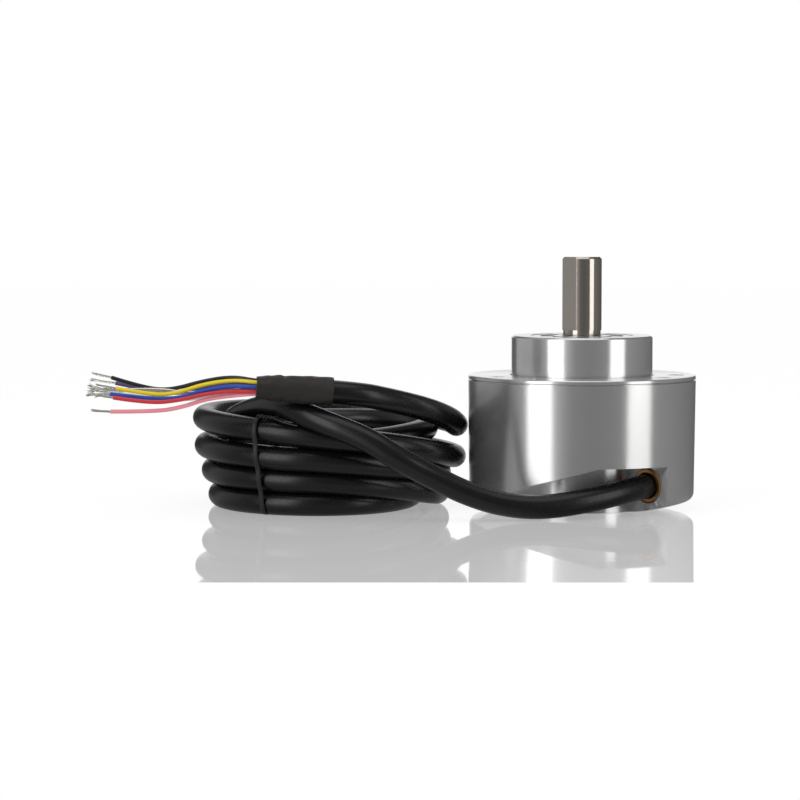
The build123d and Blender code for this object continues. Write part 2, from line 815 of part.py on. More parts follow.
def build():
    nodes = {
        "flange_body": flange_body(),
        "cover": cover(),
        "cover_seal": cover_seal(),
        "shaft": shaft(),
        "inner_spacer": inner_spacer(),
        "shaft_circlip": shaft_circlip(),
        "bore_circlip": bore_circlip(),
        "spring_washer": spring_washer(),
        "disc_hub": disc_hub(),
        "code_disc": code_disc(),
        "disc_clamp_ring": disc_clamp_ring(),
        "mask": mask(),
        "optical_sensor": optical_sensor(),
        "light_source": light_source(),
        "led_holder": led_holder(),
        "led_holder_screws": led_holder_screws(),
        "circuit_board": circuit_board(),
        "standoffs": standoffs(),
        "board_screws": board_screws(),
        "board_chips": board_chips(),
        "board_capacitors": board_capacitors(),
        "board_header": board_header(),
        "inner_leads": inner_leads(),
        "cable_ferrule": cable_ferrule(),
        "cable_crimp": cable_crimp(),
        "cable_lead_out": cable_lead_out(),
        "cable_coil": cable_coil(),
        "cable_tail": cable_tail(),
        "heat_shrink_sleeve": heat_shrink_sleeve(),
        "bare_conductors": bare_conductors(),
        "shield_pigtail": shield_pigtail(),
        "coil_tie": coil_tie(),
    }
    for name, kind, under in (("front", front_bearing, front_under), ("rear", rear_bearing, rear_under)):
        nodes[name + "_outer_ring"] = outer_ring(kind, under)
        nodes[name + "_inner_ring"] = inner_ring(kind, under)
        nodes[name + "_balls"] = balls(kind, under)
        nodes[name + "_cage"] = cage(kind, under)
        nodes[name + "_shields"] = shields(kind, under)
    for name in lead_routes:
        nodes[name] = flying_lead(name)
    return nodes


os.makedirs("parts", exist_ok=True)
for node, solid in build().items():
    export_step(solid, "parts/" + node + ".step")
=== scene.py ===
import json
import math
import random

import bpy
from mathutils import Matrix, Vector


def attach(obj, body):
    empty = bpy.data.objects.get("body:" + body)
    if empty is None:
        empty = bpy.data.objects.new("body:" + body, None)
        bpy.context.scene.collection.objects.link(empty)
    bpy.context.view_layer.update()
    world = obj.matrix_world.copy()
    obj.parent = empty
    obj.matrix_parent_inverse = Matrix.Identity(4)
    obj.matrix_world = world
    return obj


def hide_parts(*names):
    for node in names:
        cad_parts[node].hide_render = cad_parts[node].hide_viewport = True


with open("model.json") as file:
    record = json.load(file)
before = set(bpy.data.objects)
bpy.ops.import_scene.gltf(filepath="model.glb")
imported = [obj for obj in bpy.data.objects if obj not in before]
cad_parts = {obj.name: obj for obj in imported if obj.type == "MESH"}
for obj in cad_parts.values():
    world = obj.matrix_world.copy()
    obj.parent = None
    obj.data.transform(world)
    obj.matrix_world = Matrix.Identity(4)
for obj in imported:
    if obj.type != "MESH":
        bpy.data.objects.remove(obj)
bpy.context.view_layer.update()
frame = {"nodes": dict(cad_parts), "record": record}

nodes = frame["nodes"]
scene = bpy.context.scene
mm = 0.001

# Camera and surroundings

camera_place = Vector((-46.36, -680.0, 73.0)) * mm
camera_pitch = math.radians(3.83)
camera_lens = 120.1
floor_front = -143.0 * mm
floor_reach = 2.6
floor_half_width = 2.5


def math_node(tree, operation, first, second=None):
    node = tree.nodes.new("ShaderNodeMath")
    node.operation = operation
    for place, value in enumerate((first, second)):
        if isinstance(value, (int, float)):
            node.inputs[place].default_value = value
        elif value is not None:
            tree.links.new(value, node.inputs[place])
    return node.outputs[0]


def link(item):
    scene.collection.objects.link(item)
    return item


def make_camera():
    data = bpy.data.cameras.new("camera")
    data.sensor_width = 36.0
    data.lens = camera_lens
    data.clip_start = 0.02
    data.clip_end = 20.0
    camera = link(bpy.data.objects.new("camera", data))
    camera.location = camera_place
    camera.rotation_euler = (math.radians(90) - camera_pitch, 0, 0)
    scene.camera = camera


def soft_box(name, azimuth, distance, height, width, tall, radiance):
    data = bpy.data.lights.new(name, "AREA")
    data.shape = "RECTANGLE"
    data.size = width
    data.size_y = tall
    data.energy = radiance * math.pi * width * tall
    lamp = link(bpy.data.objects.new(name, data))
    turn = math.radians(azimuth)
    lamp.location = (distance * math.sin(turn), -distance * math.cos(turn), height)
    aim = Vector((0, 0, 0.03)) - lamp.location
    lamp.rotation_euler = aim.to_track_quat("-Z", "Y").to_euler()


# Grey of the surroundings that the metal shows, by azimuth: 0 is a half turn left of the camera's side, 0.5 is
# straight in front, and 1 is a half turn right
# The world gives these greys as light to glossy rays. The floor glows with them too, as a painted reflection in the
# metal.
room_levels = (
    (0.0, 1.0), (0.035, 1.0), (0.042, 0.07), (0.11, 0.07), (0.13, 0.42), (0.24, 0.42), (0.26, 0.22), (0.41, 0.5),
    (0.46, 0.2), (0.52, 0.16), (0.6, 0.2), (0.72, 0.26), (0.84, 0.17), (0.958, 0.08), (0.965, 1.0))


def room_grey(tree, x, y):
    front = math_node(tree, "MULTIPLY", y, -1.0)
    turn = math_node(tree, "ARCTAN2", x, front)
    share = math_node(tree, "ADD", math_node(tree, "DIVIDE", turn, 2 * math.pi), 0.5)
    room = tree.nodes.new("ShaderNodeValToRGB")
    ramp = room.color_ramp
    while len(ramp.elements) < len(room_levels):
        ramp.elements.new(0.5)
    for element, (place, level) in zip(ramp.elements, room_levels):
        element.position = place
        element.color = (level, level, level, 1)
    tree.links.new(share, room.inputs[0])
    return room.outputs[0]


def make_world():
    world = bpy.data.worlds.new("studio")
    scene.world = world
    world.use_nodes = True
    tree = world.node_tree
    tree.nodes.clear()
    make = tree.nodes.new
    direction = make("ShaderNodeTexCoord")
    split = make("ShaderNodeSeparateXYZ")
    tree.links.new(direction.outputs["Generated"], split.inputs[0])
    room = room_grey(tree, split.outputs["X"], split.outputs["Y"])
    ray = make("ShaderNodeLightPath")
    seen = math_node(tree, "MAXIMUM", ray.outputs["Is Camera Ray"], ray.outputs["Is Transmission Ray"])
    fill = make("ShaderNodeBackground")
    fill.inputs["Color"].default_value = (0.5, 0.5, 0.5, 1)
    gloss = make("ShaderNodeBackground")
    tree.links.new(room, gloss.inputs["Color"])
    white = make("ShaderNodeBackground")
    white.inputs["Color"].default_value = (1, 1, 1, 1)
    first = make("ShaderNodeMixShader")
    tree.links.new(ray.outputs["Is Glossy Ray"], first.inputs[0])
    tree.links.new(fill.outputs[0], first.inputs[1])
    tree.links.new(gloss.outputs[0], first.inputs[2])
    second = make("ShaderNodeMixShader")
    tree.links.new(seen, second.inputs[0])
    tree.links.new(first.outputs[0], second.inputs[1])
    tree.links.new(white.outputs[0], second.inputs[2])
    out = make("ShaderNodeOutputWorld")
    tree.links.new(second.outputs[0], out.inputs[0])


def make_floor():
    corners = [(-floor_half_width, floor_front, 0), (floor_half_width, floor_front, 0),
               (floor_half_width, floor_reach, 0), (-floor_half_width, floor_reach, 0)]
    mesh = bpy.data.meshes.new("floor")
    mesh.from_pydata(corners, [], [(0, 1, 2, 3)])
    floor = link(bpy.data.objects.new("floor", mesh))
    material = bpy.data.materials.new("floor_white")
    material.use_nodes = True
    tree = material.node_tree
    tree.nodes.clear()
    make = tree.nodes.new
    diffuse = make("ShaderNodeBsdfDiffuse")
    diffuse.inputs["Color"].default_value = (0.86, 0.86, 0.86, 1)
    glow = make("ShaderNodeEmission")
    glow.inputs["Color"].default_value = (0.74, 0.74, 0.74, 1)
    half = make("ShaderNodeBsdfDiffuse")
    half.inputs["Color"].default_value = (0.36, 0.36, 0.36, 1)
    lifted = make("ShaderNodeAddShader")
    tree.links.new(glow.outputs[0], lifted.inputs[0])
    tree.links.new(half.outputs[0], lifted.inputs[1])
    # Painted reflection: glossy rays that hit the floor find it glowing with the surroundings' grey, graded by its
    # place round the object. The metal then shows these greys as painted reflection bands off the floor, though the
    # floor is no lamp.
    place = make("ShaderNodeSeparateXYZ")
    tree.links.new(make("ShaderNodeTexCoord").outputs["Object"], place.inputs[0])
    painted_reflection_glow = make("ShaderNodeEmission")
    tree.links.new(room_grey(tree, place.outputs["X"], place.outputs["Y"]), painted_reflection_glow.inputs["Color"])
    ray = make("ShaderNodeLightPath")
    gloss = make("ShaderNodeMixShader")
    tree.links.new(ray.outputs["Is Glossy Ray"], gloss.inputs[0])
    tree.links.new(diffuse.outputs[0], gloss.inputs[1])
    tree.links.new(painted_reflection_glow.outputs[0], gloss.inputs[2])
    base = make("ShaderNodeMixShader")
    tree.links.new(ray.outputs["Is Camera Ray"], base.inputs[0])
    tree.links.new(gloss.outputs[0], base.inputs[1])
    tree.links.new(lifted.outputs[0], base.inputs[2])
    mirror = make("ShaderNodeBsdfGlossy")
    mirror.inputs["Roughness"].default_value = 0.03
    mirror.inputs["Color"].default_value = (1, 1, 1, 1)
    edge = make("ShaderNodeFresnel")
    edge.inputs["IOR"].default_value = 1.8
    mix = make("ShaderNodeMixShader")
    tree.links.new(edge.outputs[0], mix.inputs[0])
    tree.links.new(base.outputs[0], mix.inputs[1])
    tree.links.new(mirror.outputs[0], mix.inputs[2])
    out = make("ShaderNodeOutputMaterial")
    tree.links.new(mix.outputs[0], out.inputs[0])
    mesh.materials.append(material)


make_camera()
make_world()
make_floor()
soft_box("left_box", -46.5, 1.2, 0.35, 0.60, 1.1, 2.2)
soft_box("right_box", 56.0, 1.2, 0.35, 0.60, 1.1, 1.8)
soft_box("top_box", 0.0, 0.35, 1.5, 1.3, 1.1, 0.9)
scene.view_settings.view_transform = "Standard"

# Materials


def noise(tree, vector, scale, detail=2.0):
    node = tree.nodes.new("ShaderNodeTexNoise")
    node.inputs["Scale"].default_value = scale
    node.inputs["Detail"].default_value = detail
    tree.links.new(vector, node.inputs["Vector"])
    return node.outputs["Fac"]


def spread(tree, value, low, high):
    node = tree.nodes.new("ShaderNodeMapRange")
    node.inputs["From Min"].default_value = 0.3
    node.inputs["From Max"].default_value = 0.7
    node.inputs["To Min"].default_value = low
    node.inputs["To Max"].default_value = high
    tree.links.new(value, node.inputs["Value"])
    return node.outputs["Result"]


def blend_colours(tree, factor, dark, light):
    node = tree.nodes.new("ShaderNodeMix")
    node.data_type = "RGBA"
    tree.links.new(factor, node.inputs["Factor"])
    node.inputs[6].default_value = (*dark, 1)
    node.inputs[7].default_value = (*light, 1)
    return node.outputs[2]


def bump(tree, height, depth, strength=1.0):
    node = tree.nodes.new("ShaderNodeBump")
    node.inputs["Distance"].default_value = depth
    node.inputs["Strength"].default_value = strength
    tree.links.new(height, node.inputs["Height"])
    return node.outputs["Normal"]


def start_material(name):
    material = bpy.data.materials.new(name)
    material.use_nodes = True
    tree = material.node_tree
    shader = tree.nodes["Principled BSDF"]
    place = tree.nodes.new("ShaderNodeTexCoord").outputs["Object"]
    return material, tree, shader, place


def shade(colour, factor):
    return tuple(min(1.0, c * factor) for c in colour)


def turned_metal(name, colour, rough, spread_by=0.012, contrast=0.045, depth=1.2e-6, metallic=1.0, drawn=0.8):
    """Metal turned about the shaft axis: fine rings on its faces, fine lines round its walls."""
    material, tree, shader, place = start_material(name)
    split = tree.nodes.new("ShaderNodeSeparateXYZ")
    tree.links.new(place, split.inputs[0])
    x, y = split.outputs["X"], split.outputs["Y"]
    radius = math_node(tree, "SQRT", math_node(tree, "ADD", math_node(tree, "MULTIPLY", x, x),
                                               math_node(tree, "MULTIPLY", y, y)))
    rings = tree.nodes.new("ShaderNodeCombineXYZ")
    tree.links.new(radius, rings.inputs["X"])
    tree.links.new(split.outputs["Z"], rings.inputs["Y"])
    fine = noise(tree, rings.outputs[0], 5200, 3)
    broad = noise(tree, rings.outputs[0], 760, 2)
    smudge = noise(tree, place, 95, 3)
    lines = math_node(tree, "ADD", math_node(tree, "MULTIPLY", fine, 0.6), math_node(tree, "MULTIPLY", broad, 0.4))
    tree.links.new(blend_colours(tree, lines, shade(colour, 1 - contrast), shade(colour, 1 + contrast)),
                   shader.inputs["Base Color"])
    level = math_node(tree, "ADD", spread(tree, lines, rough - spread_by, rough + spread_by),
                      spread(tree, smudge, -0.008, 0.012))
    tree.links.new(level, shader.inputs["Roughness"])
    tree.links.new(bump(tree, lines, depth), shader.inputs["Normal"])
    shader.inputs["Metallic"].default_value = metallic
    shader.inputs["Anisotropic"].default_value = drawn
    shader.inputs["Anisotropic Rotation"].default_value = 0.25
    tangent = tree.nodes.new("ShaderNodeTangent")
    tangent.direction_type = "RADIAL"
    tangent.axis = "Z"
    tree.links.new(tangent.outputs[0], shader.inputs["Tangent"])
    return material


def roughen_exit_wall(material):
    """The milled wall that the cable leaves through is paler and duller than the turned metal round it."""
    tree = material.node_tree
    shader = tree.nodes["Principled BSDF"]
    place = tree.nodes.new("ShaderNodeTexCoord").outputs["Object"]
    split = tree.nodes.new("ShaderNodeSeparateXYZ")
    tree.links.new(place, split.inputs[0])
    x, y = split.outputs["X"], split.outputs["Y"]
    turn = math.radians(exit_azimuth)
    across = math_node(tree, "ADD", math_node(tree, "MULTIPLY", x, math.sin(turn)),
                       math_node(tree, "MULTIPLY", y, -math.cos(turn)))
    reach = math_node(tree, "ADD", math_node(tree, "MULTIPLY", x, math.cos(turn)),
                      math_node(tree, "MULTIPLY", y, math.sin(turn)))
    near = math_node(tree, "LESS_THAN", math_node(tree, "ABSOLUTE", across), wall_tolerance * mm)
    outside = math_node(tree, "GREATER_THAN", reach, channel_inner_r * mm)
    low = math_node(tree, "LESS_THAN", split.outputs["Z"], channel_top * mm)
    mask = math_node(tree, "MULTIPLY", math_node(tree, "MULTIPLY", near, outside), low)
    grain = noise(tree, place, 700, 3)
    for socket, level in (("Roughness", spread(tree, grain, 0.5, 0.68)), ("Base Color", blend_colours(
            tree, grain, (0.62, 0.62, 0.64), (0.82, 0.82, 0.83)))):
        before = shader.inputs[socket].links[0].from_socket
        mix = tree.nodes.new("ShaderNodeMix")
        mix.data_type = "RGBA"
        tree.links.new(mask, mix.inputs["Factor"])
        tree.links.new(before, mix.inputs[6])
        tree.links.new(level, mix.inputs[7])
        tree.links.new(mix.outputs[2], shader.inputs[socket])
    return material


def plain(name, colour, rough, metallic=0.0, scale=900, depth=8e-6, contrast=0.08, spread_by=0.05, coat=0.0,
          stretch=(1, 1, 1), specular=0.5, transmission=0.0):
    """Moulded, drawn or cast surface: small changes of colour and gloss, and a fine grain."""
    material, tree, shader, place = start_material(name)
    scaled = tree.nodes.new("ShaderNodeMapping")
    scaled.inputs["Scale"].default_value = stretch
    tree.links.new(place, scaled.inputs["Vector"])
    grain = noise(tree, scaled.outputs[0], scale, 3)
    patch = noise(tree, place, scale / 9, 2)
    tree.links.new(blend_colours(tree, patch, shade(colour, 1 - contrast), shade(colour, 1 + contrast)),
                   shader.inputs["Base Color"])
    tree.links.new(spread(tree, grain, rough - spread_by, rough + spread_by), shader.inputs["Roughness"])
    tree.links.new(bump(tree, grain, depth), shader.inputs["Normal"])
    shader.inputs["Metallic"].default_value = metallic
    shader.inputs["Coat Weight"].default_value = coat
    shader.inputs["Specular IOR Level"].default_value = specular
    shader.inputs["Transmission Weight"].default_value = transmission
    return material


exit_azimuth = -46.0
channel_inner_r = 16.0
channel_top = 12.3
wall_tolerance = 0.05
lead_colours = {
    "lead_yellow": (0.86, 0.66, 0.02), "lead_black": (0.012, 0.012, 0.014), "lead_violet": (0.10, 0.06, 0.20),
    "lead_blue": (0.015, 0.07, 0.42), "lead_red": (0.62, 0.035, 0.045), "lead_pink": (0.90, 0.30, 0.36),
    "lead_brown": (0.06, 0.035, 0.028), "lead_white": (0.80, 0.79, 0.76)}

finishes = {
    "turned_aluminium": turned_metal("turned_aluminium", (0.72, 0.72, 0.725), 0.23, metallic=0.88),
    "cover_aluminium": roughen_exit_wall(turned_metal("cover_aluminium", (0.68, 0.68, 0.675), 0.25, metallic=0.88)),
    "shaft_steel": turned_metal("shaft_steel", (0.50, 0.455, 0.41), 0.11, contrast=0.05, drawn=0.3),
    "bearing_steel": turned_metal("bearing_steel", (0.62, 0.62, 0.63), 0.2),
    "shield_steel": turned_metal("shield_steel", (0.42, 0.42, 0.42), 0.3),
    "ball_steel": plain("ball_steel", (0.78, 0.78, 0.8), 0.08, metallic=1.0, depth=1e-6, spread_by=0.02),
    "cage_polymer": plain("cage_polymer", (0.52, 0.42, 0.22), 0.5),
    "spring_steel": plain("spring_steel", (0.10, 0.095, 0.09), 0.35, metallic=1.0),
    "screw_steel": plain("screw_steel", (0.55, 0.55, 0.56), 0.3, metallic=1.0),
    "disc_metal": plain("disc_metal", (0.58, 0.58, 0.6), 0.22, metallic=1.0),
    "black_rubber": plain("black_rubber", (0.015, 0.015, 0.015), 0.7),
    "optic_glass": plain("optic_glass", (0.85, 0.9, 0.92), 0.06, transmission=0.9, depth=0.5e-6, spread_by=0.02),
    "chip_black": plain("chip_black", (0.02, 0.02, 0.022), 0.55),
    "board_green": plain("board_green", (0.012, 0.13, 0.05), 0.35, coat=0.3),
    "capacitor_can": plain("capacitor_can", (0.66, 0.66, 0.68), 0.3, metallic=1.0),
    "header_ivory": plain("header_ivory", (0.74, 0.7, 0.58), 0.45),
    "inner_lead_grey": plain("inner_lead_grey", (0.3, 0.3, 0.32), 0.4),
    "brass_plain": plain("brass_plain", (0.68, 0.5, 0.24), 0.28, metallic=1.0),
    "ferrule_brass": plain("ferrule_brass", (0.55, 0.31, 0.13), 0.34, metallic=1.0, contrast=0.2),
    "cable_jacket": plain("cable_jacket", (0.0045, 0.0045, 0.005), 0.28, scale=1500, depth=3e-6, spread_by=0.04,
                          contrast=0.25, specular=0.42),
    "heat_shrink": plain("heat_shrink", (0.021, 0.017, 0.014), 0.52, scale=620, depth=3.5e-5, contrast=0.3,
                         specular=0.4),
    "bare_copper_tinned": plain("bare_copper_tinned", (0.72, 0.7, 0.66), 0.24, metallic=1.0, scale=2500),
    "tie_black": plain("tie_black", (0.013, 0.013, 0.013), 0.42, scale=1400),
}
for lead_name, lead_colour in lead_colours.items():
    finishes[lead_name] = plain(lead_name, lead_colour, 0.34, scale=1600, depth=4e-6, contrast=0.1, spread_by=0.06)

for part in frame["record"]["subparts"]:
    mesh = nodes[part["node"]].data
    if mesh.materials:
        for i in range(len(mesh.materials)):
            mesh.materials[i] = finishes[part["material_slot"]]
    else:
        mesh.materials.append(finishes[part["material_slot"]])

# Cords


def cord_curve(name, points, diameter, slot, round_by=6, steps=10):
    data = bpy.data.curves.new(name, "CURVE")
    data.dimensions = "3D"
    data.bevel_depth = diameter / 2 * mm
    data.bevel_resolution = round_by
    data.use_fill_caps = True
    data.resolution_u = steps
    spline = data.splines.new("NURBS")
    spline.points.add(len(points) - 1)
    for control, point in zip(spline.points, points):
        control.co = (*(Vector(point) * mm), 1.0)
    spline.order_u = 3
    spline.use_endpoint_u = True
    data.materials.append(finishes[slot])
    cord = link(bpy.data.objects.new(name, data))
    return cord


outlet_centre = Vector((15.491, -16.041, 7.15))
outlet_line = Vector((-0.7154, -0.69085, -0.10453))
lead_out_route = [
    (8.6, -22.9, 6.05), (-1.0, -28.1, 4.4), (-11.5, -30.9, 3.1), (-21.0, -32.1, 3.9), (-30.0, -32.4, 6.7),
    (-38.5, -32.3, 10.9), (-47.0, -33.9, 15.5), (-54.6, -32.7, 20.3), (-65.2, -29.7, 24.1),
    (-73.8, -23.5, 27.2), (-78.5, -17.1, 27.3), (-83.2, -9.8, 25.8), (-88.0, -3.4, 23.5)]
tail_route = [
    (-31.3, 6.0, 20.3), (-33.5, -3.2, 23.0), (-39.4, -12.6, 26.0), (-48.4, -21.6, 28.8),
    (-57.8, -27.8, 31.1), (-77.9, -29.6, 32.4)]

# The winding: angle round the coil in degrees, radius and height of the cable's middle
coil_centre = (-64.8, 7.0)
winding = [
    (-160, 25.2, 20.2), (-180, 25.4, 20.2), (-270, 25.6, 20.1), (-360, 25.4, 20.0), (-450, 24.6, 17.4),
    (-540, 24.4, 14.4), (-630, 24.4, 14.3), (-720, 24.0, 14.0), (-810, 23.2, 11.4), (-900, 22.9, 8.7),
    (-990, 22.9, 8.6), (-1080, 22.4, 8.6), (-1170, 21.9, 5.8), (-1260, 21.6, 3.1), (-1350, 21.6, 3.0),
    (-1440, 21.5, 3.0), (-1470, 22.4, 3.0), (-1500, 25.4, 3.0), (-1530, 27.9, 3.0), (-1620, 28.1, 3.0),
    (-1710, 28.4, 3.0), (-1800, 27.9, 3.1), (-1862, 28.9, 7.3), (-1890, 29.3, 8.5), (-1980, 29.9, 9.2),
    (-2070, 30.4, 8.9), (-2160, 28.7, 8.5), (-2222, 30.4, 12.4), (-2250, 30.7, 13.9), (-2340, 31.3, 15.7),
    (-2430, 32.2, 14.8), (-2520, 32.5, 12.5), (-2582, 31.8, 18.0), (-2610, 31.7, 19.6), (-2640, 31.9, 21.4),
    (-2700, 32.2, 22.8), (-2790, 32.8, 22.2), (-2880, 32.6, 20.6)]
coil_from, coil_to = -182.5, -2872
coil_step = 22.5
# a spline through points on a circle runs inside it by this share
curve_inset = (3 + math.cos(math.radians(coil_step))) / 4


def winding_at(angle):
    for i in range(len(winding) - 1):
        a, b = winding[i], winding[i + 1]
        if a[0] >= angle >= b[0]:
            before = winding[max(0, i - 1)]
            after = winding[min(len(winding) - 1, i + 2)]
            t = (angle - a[0]) / (b[0] - a[0])
            span = b[0] - a[0]
            values = []
            for k in (1, 2):
                slope_a = (b[k] - before[k]) / (b[0] - before[0]) * span
                slope_b = (after[k] - a[k]) / (after[0] - a[0]) * span
                values.append((2 * t ** 3 - 3 * t ** 2 + 1) * a[k] + (t ** 3 - 2 * t ** 2 + t) * slope_a
                              + (3 * t ** 2 - 2 * t ** 3) * b[k] + (t ** 3 - t ** 2) * slope_b)
            return values
    return winding[-1][1:]


def coil_points():
    points = []
    angle = coil_from
    while angle > coil_to:
        radius, height = winding_at(angle)
        sway = 0.22 * math.sin(math.radians(angle * 1.37)) + 0.16 * math.sin(math.radians(angle * 0.61 + 40))
        reach = (radius + sway) / curve_inset
        points.append((coil_centre[0] + reach * math.cos(math.radians(angle)),
                       coil_centre[1] + reach * math.sin(math.radians(angle)), max(3.0, height)))
        angle -= coil_step
    return points


cable_d = 6.0
cable_start, wall_inside = 8.6, 1.0
cable_points = [outlet_centre - outlet_line * cable_start, outlet_centre - outlet_line * wall_inside]
cable_points += lead_out_route + coil_points() + tail_route
cable = cord_curve("cable", cable_points, cable_d, "cable_jacket", round_by=10, steps=12)
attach(cable, "housing")
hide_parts("cable_lead_out", "cable_coil", "cable_tail")

# Sleeve at the cable's end

sleeve_corner, cable_end = Vector(tail_route[-2]), Vector(tail_route[-1])
sleeve_axis = (cable_end - sleeve_corner).normalized()
sleeve_side = (Vector((0, -1, 0)) - sleeve_axis * sleeve_axis.dot(Vector((0, -1, 0)))).normalized()
sleeve_up = sleeve_axis.cross(sleeve_side)
sleeve_inset = 5.0
sleeve_len = 18.8
sleeve_bore_r = 3.04


def sleeve_point(along, side=0.0, up=0.0):
    return sleeve_corner + sleeve_axis * (sleeve_inset + along) + sleeve_side * side + sleeve_up * up


def between(stops, t):
    for a, b in zip(stops, stops[1:]):
        if a[0] <= t <= b[0]:
            f = (t - a[0]) / (b[0] - a[0])
            f = f * f * (3 - 2 * f)
            return [a[k] + (b[k] - a[k]) * f for k in range(1, len(a))]
    return list(stops[-1][1:])


def loft(name, rings, slot, closed_ends=True, cyclic=False):
    count = len(rings[0])
    points = [tuple(p * mm) for ring in rings for p in ring]
    faces = []
    last = len(rings) if cyclic else len(rings) - 1
    for r in range(last):
        nxt = (r + 1) % len(rings)
        for i in range(count):
            j = (i + 1) % count
            faces.append((r * count + i, r * count + j, nxt * count + j, nxt * count + i))
    if closed_ends and not cyclic:
        faces.append(tuple(range(count - 1, -1, -1)))
        faces.append(tuple((len(rings) - 1) * count + i for i in range(count)))
    mesh = bpy.data.meshes.new(name)
    mesh.from_pydata(points, [], faces)
    mesh.update()
    for face in mesh.polygons:
        face.use_smooth = True
    mesh.materials.append(finishes[slot])
    piece = link(bpy.data.objects.new(name, mesh))
    return piece


def make_sleeve():
    # place along the sleeve, half width, half height
    outline = [(0.0, 3.42, 3.42), (0.03, 3.5, 3.5), (0.3, 3.5, 3.48), (0.56, 3.46, 3.34), (0.64, 3.4, 3.12),
               (0.7, 3.46, 3.3), (0.84, 3.45, 3.05), (0.95, 3.4, 2.72), (1.0, 3.36, 2.62)]
    count, steps = 64, 110
    rings = []
    for s in range(steps + 1):
        t = s / steps
        half_w, half_h = between(outline, t)
        ring = []
        for i in range(count):
            turn = 2 * math.pi * i / count
            ripple = 0.045 * math.sin(9 * turn + 5 * t) * math.sin(14 * t + 1.3) + 0.03 * math.sin(31 * t + 3 * turn)
            ring.append(sleeve_point(sleeve_len * t, (half_w + ripple) * math.cos(turn),
                                     (half_h + ripple) * math.sin(turn)))
        rings.append(ring)
    # the mouth turns inwards and runs back to the cable's end, and so does the other end, over the cable
    mouth_w, mouth_h = outline[-1][1:]
    for depth, shrink in ((0.0, 0.32), (0.5, 0.42), (3.6, 0.48)):
        half_w, half_h = mouth_w - shrink, mouth_h - shrink
        rings.append([sleeve_point(sleeve_len - depth, half_w * math.cos(2 * math.pi * i / count),
                                   half_h * math.sin(2 * math.pi * i / count)) for i in range(count)])
    for depth in (0.8, 0.0):
        rings.insert(0, [sleeve_point(depth, sleeve_bore_r * math.cos(2 * math.pi * i / count),
                                      sleeve_bore_r * math.sin(2 * math.pi * i / count)) for i in range(count)])
    rings = [rings[1], rings[0]] + rings[2:]
    return loft("sleeve", rings, "heat_shrink")


sleeve = make_sleeve()
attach(sleeve, "housing")
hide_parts("heat_shrink_sleeve")

# Flying leads and shield

lead_d = 1.0
shield_d = 1.0
strand_d = 0.2
shield_strand_d = 0.17
lead_ring_r = 1.55
# name: place round the cable's end in degrees, route, and tip of the bare strands
lead_routes = {
    "lead_yellow": (50, [(-87.3, -28.8, 34.3), (-94.4, -28.9, 33.3), (-101.6, -28.9, 30.9),
                         (-107.3, -29.1, 30.7), (-115.7, -29.4, 32.3)], (-120.7, -29.5, 33.2)),
    "lead_black": (95, [(-87.3, -27.5, 35.1), (-94.5, -26.9, 34.0), (-102.5, -26.2, 31.7),
                        (-108.8, -25.7, 32.1), (-117.3, -25.0, 34.7)], (-122.3, -24.7, 35.8)),
    "lead_violet": (140, [(-87.3, -26.4, 33.1), (-94.6, -24.5, 32.2), (-100.5, -22.9, 30.5),
                          (-107.4, -21.4, 31.2), (-116.8, -19.9, 33.0)], (-123.4, -18.7, 33.8)),
    "lead_blue": (5, [(-87.3, -29.9, 33.0), (-94.1, -30.1, 31.9), (-100.5, -30.4, 29.9),
                      (-107.3, -30.7, 29.8), (-117.0, -31.1, 31.0)], (-122.9, -31.3, 30.9)),
    "lead_red": (-40, [(-87.2, -29.8, 31.7), (-93.5, -30.8, 31.1), (-100.6, -31.8, 29.4),
                       (-107.4, -32.7, 28.9), (-116.0, -33.7, 30.3)], (-120.7, -34.3, 31.1)),
    "lead_pink": (-85, [(-88.0, -29.1, 30.4), (-93.7, -29.9, 29.7), (-99.8, -31.1, 27.7),
                        (-106.1, -32.3, 26.8), (-116.7, -33.5, 26.9)], (-121.4, -34.1, 27.2)),
    "lead_brown": (185, [(-87.3, -25.7, 31.9), (-93.7, -23.1, 31.0), (-100.5, -20.8, 29.3),
                         (-108.8, -19.1, 29.2), (-118.7, -17.3, 30.1)], (-122.6, -16.7, 29.6)),
    "lead_white": (230, [(-87.3, -26.4, 30.8), (-93.3, -25.4, 30.0), (-100.8, -24.4, 29.1),
                         (-108.4, -24.1, 29.5), (-118.3, -23.8, 31.0)], (-122.1, -23.6, 31.4)),
}
shield_route = [(-89.7, -28.1, 32.0), (-97.5, -27.5, 30.8), (-106.4, -27.9, 32.1), (-115.2, -27.5, 31.7),
                (-123.1, -27.1, 32.0)]
cable_stop = (cable_end - sleeve_corner).length - sleeve_inset


def lead_start(angle):
    turn = math.radians(angle)
    side, up = lead_ring_r * math.cos(turn), lead_ring_r * math.sin(turn)
    return [sleeve_point(cable_stop, side, up), sleeve_point(sleeve_len, side, up)]


def thin_strands(name, paths, diameter, slot):
    data = bpy.data.curves.new(name, "CURVE")
    data.dimensions = "3D"
    data.bevel_depth = diameter / 2 * mm
    data.bevel_resolution = 2
    data.use_fill_caps = True
    data.resolution_u = 4
    for points in paths:
        spline = data.splines.new("NURBS")
        spline.points.add(len(points) - 1)
        for control, point in zip(spline.points, points):
            control.co = (*(Vector(point) * mm), 1.0)
        spline.order_u = 3
        spline.use_endpoint_u = True
    data.materials.append(finishes[slot])
    piece = link(bpy.data.objects.new(name, data))
    return piece


